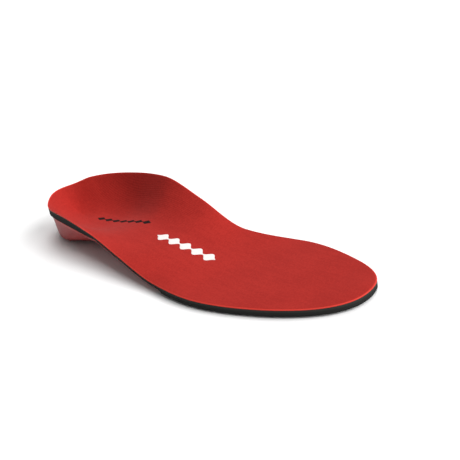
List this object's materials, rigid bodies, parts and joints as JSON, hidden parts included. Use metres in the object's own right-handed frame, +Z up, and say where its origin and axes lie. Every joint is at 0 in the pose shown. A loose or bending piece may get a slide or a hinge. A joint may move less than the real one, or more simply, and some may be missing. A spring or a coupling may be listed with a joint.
{
  "type": "insole",
  "caption": "Cushioned orthotic shoe insole for a right foot: knitted cover on black foam, moulded heel and arch shell, silvery film under the forefoot.",
  "frame": {"origin": "middle of the box, on the surface the insole rests on", "axes": "+X from the heel to the toe, +Y to the medial (arch) side, +Z up"},
  "size_m": [0.2826, 0.0938, 0.038],
  "materials": {
    "top_cover": "matte fine knit with a heat-cut edge",
    "tonal_print": "matte dark transfer print",
    "white_print": "matte white transfer print",
    "cover_adhesive": "hot-melt film, not seen",
    "foam_base": "closed-cell foam with a sanded cut edge",
    "cap_adhesive": "contact adhesive, not seen",
    "stabilizer_cap": "satin moulded plastic",
    "film_adhesive": "pressure-sensitive adhesive, not seen",
    "reflective_film": "thin metallised film, soft sheen"
  },
  "bodies": {
    "root": {"top_cover": "top_cover", "tonal_print": "tonal_print", "white_print": "white_print", "cover_adhesive": "cover_adhesive", "foam_base": "foam_base", "cap_adhesive": "cap_adhesive", "stabilizer_cap": "stabilizer_cap", "film_adhesive": "film_adhesive", "reflective_film": "reflective_film"}
  },
  "joints": []
}
